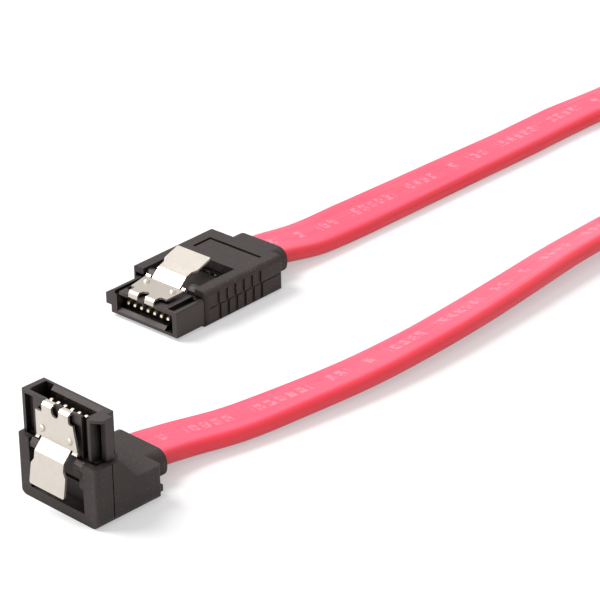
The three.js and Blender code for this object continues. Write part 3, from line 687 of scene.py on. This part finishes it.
@dataclass
class FlatCable:
    """The free cable, from one collar to the other, lying on the surface."""

    width: float = 8.0 * MM
    thick: float = 2.2 * MM
    per_span: int = 9
    end_points: int = 11
    face_points: int = 9
    length: float = 0.498
    exit_index: int = 1
    # x, y and height of the middle line from the straight plug's rim in mm, and roll in degrees
    route: tuple = (
        (19, 0, 2.5, 0),
        (24.5, 0, 2.5, 0),
        (33, -1, 1.7, 5),
        (42, -1.3, 1.51, 7),
        (51.5, -1.5, 1.42, 5),
        (65, -1.7, 1.28, 2.3),
        (79, -2, 1.16, 0),
        (92, -2.1, 1.16, 0),
        (106, -3.2, 1.46, -6),
        (125, -2.2, 1.91, 15),
        (145, 2, 3.21, 45),
        (165, 6.6, 3.96, 75),
        (181, 9.6, 4.06, 88),
        (196, 10.5, 4.06, 90),
        (210, 6.75, 4.06, 90),
        (220.25, -3.5, 4.06, 90),
        (224, -17.5, 4.06, 90),
        (220.25, -31.5, 4.06, 90),
        (210, -41.75, 4.06, 90),
        (196, -45.5, 4.06, 90),
        (180, -44.9, 4.06, 88),
        (162, -42.4, 4.02, 80),
        (142, -38.6, 3.77, 64),
        (120, -35.2, 3.25, 46),
        (98, -33.2, 2.61, 30),
        (82, -32.5, 2.2, 21),
        (66, -32.4, 2.01, 17),
        (52, -32.6, 1.99, 16.7),
        (41, -33.25, 1.9, 14.7),
        (30, -33.8, 1.78, 12.4),
        (18.5, -34.05, 1.74, 11.5),
        (7, -33.45, 1.6, 8.8),
        (-4.4, -31.85, 1.49, 6.5),
        (-14, -30.1, 1.46, 3.6),
        (-22, -28, 1.85, 2),
        (-27.86, -27.46, 2.5, 0),
        (-33.35, -27.23, 2.5, 0),
    )

    def build(self, rim: Vector, material: bpy.types.Material) -> bpy.types.Object:
        """Args:
            rim: The straight plug's rim centre, at floor level.
            material: The jacket's finish.

        Returns:
            The cable object.
        """
        stations = self.stations(rim)
        mesh = bpy.data.meshes.new("flat_cable")
        section = self.section()
        bm = bmesh.new()
        layer = bm.loops.layers.uv.new("jacket")
        rings = []
        for centre, tangent, across, _ in stations:
            over = tangent.cross(across)
            rings.append([bm.verts.new(centre + across * x + over * y) for x, y in section])
        for i in range(len(rings) - 1):
            runs = (stations[i][3], stations[i + 1][3])
            self.skin(bm, layer, rings[i:i + 2], runs, section)
        bm.faces.new(list(reversed(rings[0])))
        bm.faces.new(rings[-1])
        bmesh.ops.recalc_face_normals(bm, faces=bm.faces)
        for face in bm.faces:
            face.smooth = len(face.verts) == 4
        bm.to_mesh(mesh)
        bm.free()
        mesh.materials.append(material)
        piece = new_piece("flat_cable", mesh)
        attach(piece, ROOT_BODY)
        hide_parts("cable")
        LOG.info("cable: %d rings, %.3f m", len(rings), self.length)
        return piece

    def stations(self, rim: Vector) -> list:
        """Works out the cable's course.

        Args:
            rim: The straight plug's rim centre, at floor level.

        Returns:
            At each station: the middle, the direction, the width's direction and the distance run.
        """
        points = [rim + Vector(stop[:3]) * MM for stop in self.route]
        rolls = [math.radians(stop[3]) for stop in self.route]
        ends = [points[0] * 2 - points[1], *points, points[-1] * 2 - points[-2]]
        found = []
        run = 0.0
        last = None
        for i in range(len(points) - 1):
            steps = self.per_span + (1 if i == len(points) - 2 else 0)
            for k in range(steps):
                share = k / self.per_span
                centre, tangent = self.spline(ends[i:i + 4], share)
                run += (centre - last).length if last is not None else 0.0
                last = centre
                roll = rolls[i] + (rolls[i + 1] - rolls[i]) * share
                across = Vector((0.0, 0.0, 1.0)).cross(tangent).normalized()
                across.rotate(Quaternion(tangent, roll))
                found.append((centre, tangent, across, run))
        return found

    @staticmethod
    def spline(points: Sequence[Vector], share: float) -> tuple:
        """Gives a centripetal spline's point and direction.

        Args:
            points: Four points; the spline runs from the second to the third.
            share: 0 to 1 along it.

        Returns:
            The point and the unit direction.
        """
        p0, p1, p2, p3 = points
        d0, d1, d2 = ((b - a).length ** 0.5 for a, b in ((p0, p1), (p1, p2), (p2, p3)))
        m1 = ((p1 - p0) / d0 - (p2 - p0) / (d0 + d1) + (p2 - p1) / d1) * d1
        m2 = ((p2 - p1) / d1 - (p3 - p1) / (d1 + d2) + (p3 - p2) / d2) * d1
        c2 = (p2 - p1) * 3 - m1 * 2 - m2
        c3 = (p1 - p2) * 2 + m1 + m2
        place = p1 + m1 * share + c2 * share ** 2 + c3 * share ** 3
        direction = m1 + c2 * 2 * share + c3 * 3 * share ** 2
        return place, direction.normalized()

    def section(self) -> list:
        """Gives the outline of the flat section, as distances across and over."""
        radius = self.thick / 2
        reach = self.width / 2 - radius
        outline = []
        for side in (1, -1):
            for i in range(self.end_points):
                angle = (i / (self.end_points - 1) - 0.5) * math.pi
                across = side * (reach + radius * math.cos(angle))
                outline.append((across, side * radius * math.sin(angle)))
            for i in range(1, self.face_points):
                outline.append((side * reach * (1 - 2 * i / self.face_points), side * radius))
        return outline

    def skin(self, bm: bmesh.types.BMesh, layer: bmesh.types.BMLayerItem, rings: Sequence[list],
             runs: Sequence[float], section: list) -> None:
        """Joins two rings with faces and their UVs.

        The print is on the upper face, so the under face's place across runs from 1 to 2.

        Args:
            bm: The mesh being made.
            layer: Its UV layer.
            rings: The corners of the two rings.
            runs: How far along the cable each ring is.
            section: The outline that both rings follow.
        """
        first, second = rings
        start, stop = runs
        count = len(section)
        for k in range(count):
            after = (k + 1) % count
            pair = (section[k], section[after])
            under = min(y for _, y in pair) < 0
            places = [1.5 - x / self.width if under else 0.5 + x / self.width for x, _ in pair]
            face = bm.faces.new((first[k], first[after], second[after], second[k]))
            corners = zip((*places, *reversed(places)), (start, start, stop, stop))
            for loop, (place, run) in zip(face.loops, corners):
                loop[layer].uv = (run / (10 * MM), place)


# Plugs


@dataclass
class ContactRow:
    """Seven gold blades, repeated from the first with geometry nodes."""

    prefix: str
    across: Vector
    count: int = CONTACT_COUNT
    pitch: float = CONTACT_PITCH
    edge: float = 0.035 * MM

    def build(self, material: bpy.types.Material) -> bpy.types.Object:
        """Makes the row as one plain mesh.

        Args:
            material: The blades' finish.

        Returns:
            The row's object.
        """
        name = f"{self.prefix}_contact_row"
        nodes = [f"{self.prefix}_contact_{i + 1}" for i in range(self.count)]
        blade = rounded_copy(nodes[0], f"{name}_blade", [Rounding(self.edge, 2, 20.0)], material)
        blade.modifiers.clear()
        modifier = blade.modifiers.new("row", "NODES")
        tree, sockets = self.tree()
        modifier.node_group = tree
        modifier[sockets["Count"]] = self.count
        modifier[sockets["Step"]] = tuple(self.across * self.pitch)
        modifier[sockets["Finish"]] = material
        evaluated = blade.evaluated_get(bpy.context.evaluated_depsgraph_get())
        mesh = bpy.data.meshes.new_from_object(evaluated)
        mesh.name = name
        bpy.data.objects.remove(blade)
        row = new_piece(name, mesh)
        shade_evenly(row)
        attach(row, ROOT_BODY)
        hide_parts(*nodes)
        LOG.info("%s: %d blades", name, self.count)
        return row

    def tree(self) -> tuple:
        """Builds the repeating tree.

        Returns:
            The tree and its input identifiers by name.
        """
        tree = bpy.data.node_groups.new(f"{self.prefix}_row", "GeometryNodeTree")
        face = tree.interface
        face.new_socket("Blade", in_out="INPUT", socket_type="NodeSocketGeometry")
        kinds = {"Count": "NodeSocketInt", "Step": "NodeSocketVector",
                 "Finish": "NodeSocketMaterial"}
        sockets = {name: face.new_socket(name, in_out="INPUT", socket_type=kind).identifier
                   for name, kind in kinds.items()}
        face.new_socket("Row", in_out="OUTPUT", socket_type="NodeSocketGeometry")
        given = tree.nodes.new("NodeGroupInput")
        line = tree.nodes.new("GeometryNodeMeshLine")
        place = tree.nodes.new("GeometryNodeInstanceOnPoints")
        realize = tree.nodes.new("GeometryNodeRealizeInstances")
        finish = tree.nodes.new("GeometryNodeSetMaterial")
        result = tree.nodes.new("NodeGroupOutput")
        for source, target in (
                (given.outputs["Count"], line.inputs["Count"]),
                (given.outputs["Step"], line.inputs["Offset"]),
                (line.outputs["Mesh"], place.inputs["Points"]),
                (given.outputs["Blade"], place.inputs["Instance"]),
                (place.outputs["Instances"], realize.inputs["Geometry"]),
                (realize.outputs["Geometry"], finish.inputs["Geometry"]),
                (given.outputs["Finish"], finish.inputs["Material"]),
                (finish.outputs["Geometry"], result.inputs["Row"])):
            tree.links.new(source, target)
        return tree, sockets


@dataclass
class Plug:
    """One plug: housing, overmould, latch, contact row and the pieces inside.

    The direction across is that of the contact row, from the first contact to the last.
    """

    kind: Handed
    across: Vector
    housing_edge: float = 0.07 * MM
    moulding_edge: float = 0.10 * MM
    latch_fold: float = 0.30 * MM
    fold_over: float = 12.0
    fold_under: float = 66.0
    made: list = field(default_factory=list)

    def build(self, finishes: "Finishes") -> None:
        """Makes and dresses every piece of the plug.

        Args:
            finishes: The materials, made once for both plugs.
        """
        prefix = self.kind.value
        self.piece(f"{prefix}_contact_housing", f"{prefix}_housing_shell", "contact_housing",
                   ROOT_BODY, [Rounding(self.housing_edge)], finishes.housing)
        self.piece(f"{prefix}_overmould", f"{prefix}_moulding", "overmould", ROOT_BODY,
                   [Rounding(self.moulding_edge, 3)], finishes.moulding)
        self.piece(f"{prefix}_latch_spring", f"{prefix}_latch_leaf", "latch_steel",
                   f"{prefix}_latch", [Rounding(self.latch_fold, 3, self.fold_over, self.fold_under)],
                   finishes.steel[self.kind])
        ContactRow(prefix, self.across).build(finishes.gold)
        set_finish(f"{prefix}_solder_sleeve", finishes.sleeve)
        for i in range(CORE_COUNT):
            set_finish(f"{prefix}_core_{i + 1}", finishes.core)
        for i in range(DRAIN_COUNT):
            set_finish(f"{prefix}_drain_{i + 1}", finishes.drain)
        LOG.info("%s plug: %s", prefix, ", ".join(self.made))

    def piece(self, node: str, name: str, slot: str, body: str, passes: Sequence[Rounding],
              material: bpy.types.Material) -> bpy.types.Object:
        """Makes one rounded piece in a CAD node's place.

        Args:
            node: The CAD node it stands for.
            name: The piece's name.
            slot: The record's material slot; not used.
            body: The body it rides on.
            passes: How its edges are rounded.
            material: Its finish.

        Returns:
            The new object.
        """
        made = rounded_copy(node, name, passes, material)
        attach(made, body)
        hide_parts(node)
        self.made.append(name)
        return made


class Finishes:
    """Every material of the two plugs, made once."""

    def __init__(self) -> None:
        """Builds the materials."""
        self.housing = MouldedPlastic(
            "housing_plastic", colour=(0.030, 0.025, 0.024), worn=(0.044, 0.037, 0.035),
            roughness=0.46, grain=0.006 * MM, speck_level=0.80).build()
        self.moulding = MouldedPlastic("moulding_pvc").build()
        self.sleeve = MouldedPlastic(
            "inner_sleeve", colour=(0.070, 0.064, 0.060), worn=(0.090, 0.083, 0.078),
            roughness=0.7).build()
        self.steel = {
            # The straight latch's steel is painted darker than the angled latch's, as painted shade
            Handed.STRAIGHT: StampedSteel(
                "shaded_straight_latch_steel", colour=(0.56, 0.515, 0.46)).build(),
            Handed.ANGLED: StampedSteel(
                "angled_latch_steel", stretch=(9000.0, 9000.0, 260.0)).build(),
        }
        self.gold = PlatedMetal(
            "contact_gold", (1.0, 0.90, 0.70), (0.95, 0.80, 0.55), roughness=0.35).build()
        self.drain = PlatedMetal(
            "drain_tin", (0.74, 0.72, 0.69), (0.60, 0.58, 0.55), roughness=0.3).build()
        self.core = Insulation().build()


@dataclass
class CableAssembly:
    """The whole object: the two plugs and the cable between them."""

    angled_turn: float = -0.0406

    def rim(self) -> Vector:
        """Finds the straight plug's rim centre, at floor level, from its CAD housing."""
        low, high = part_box("straight_contact_housing")
        return Vector((low[0], (low[1] + high[1]) / 2, 0.0))

    def build(self) -> None:
        """Makes the studio, the cable and the two plugs."""
        rim = self.rim()
        Studio().build(rim)
        FlatCable().build(rim, JacketFinish().build())
        finishes = Finishes()
        turned = math.pi / 2 + self.angled_turn
        Plug(Handed.STRAIGHT, Vector((0.0, -1.0, 0.0))).build(finishes)
        Plug(Handed.ANGLED, Vector((math.cos(turned), math.sin(turned), 0.0))).build(finishes)


def main() -> None:
    """Builds the scene."""
    logging.basicConfig(level=logging.INFO, format="%(name)s: %(message)s")
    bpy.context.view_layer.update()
    bpy.context.scene.view_settings.view_transform = "Standard"
    CableAssembly().build()
    bpy.context.view_layer.update()


if __name__ == "__main__":
    main()
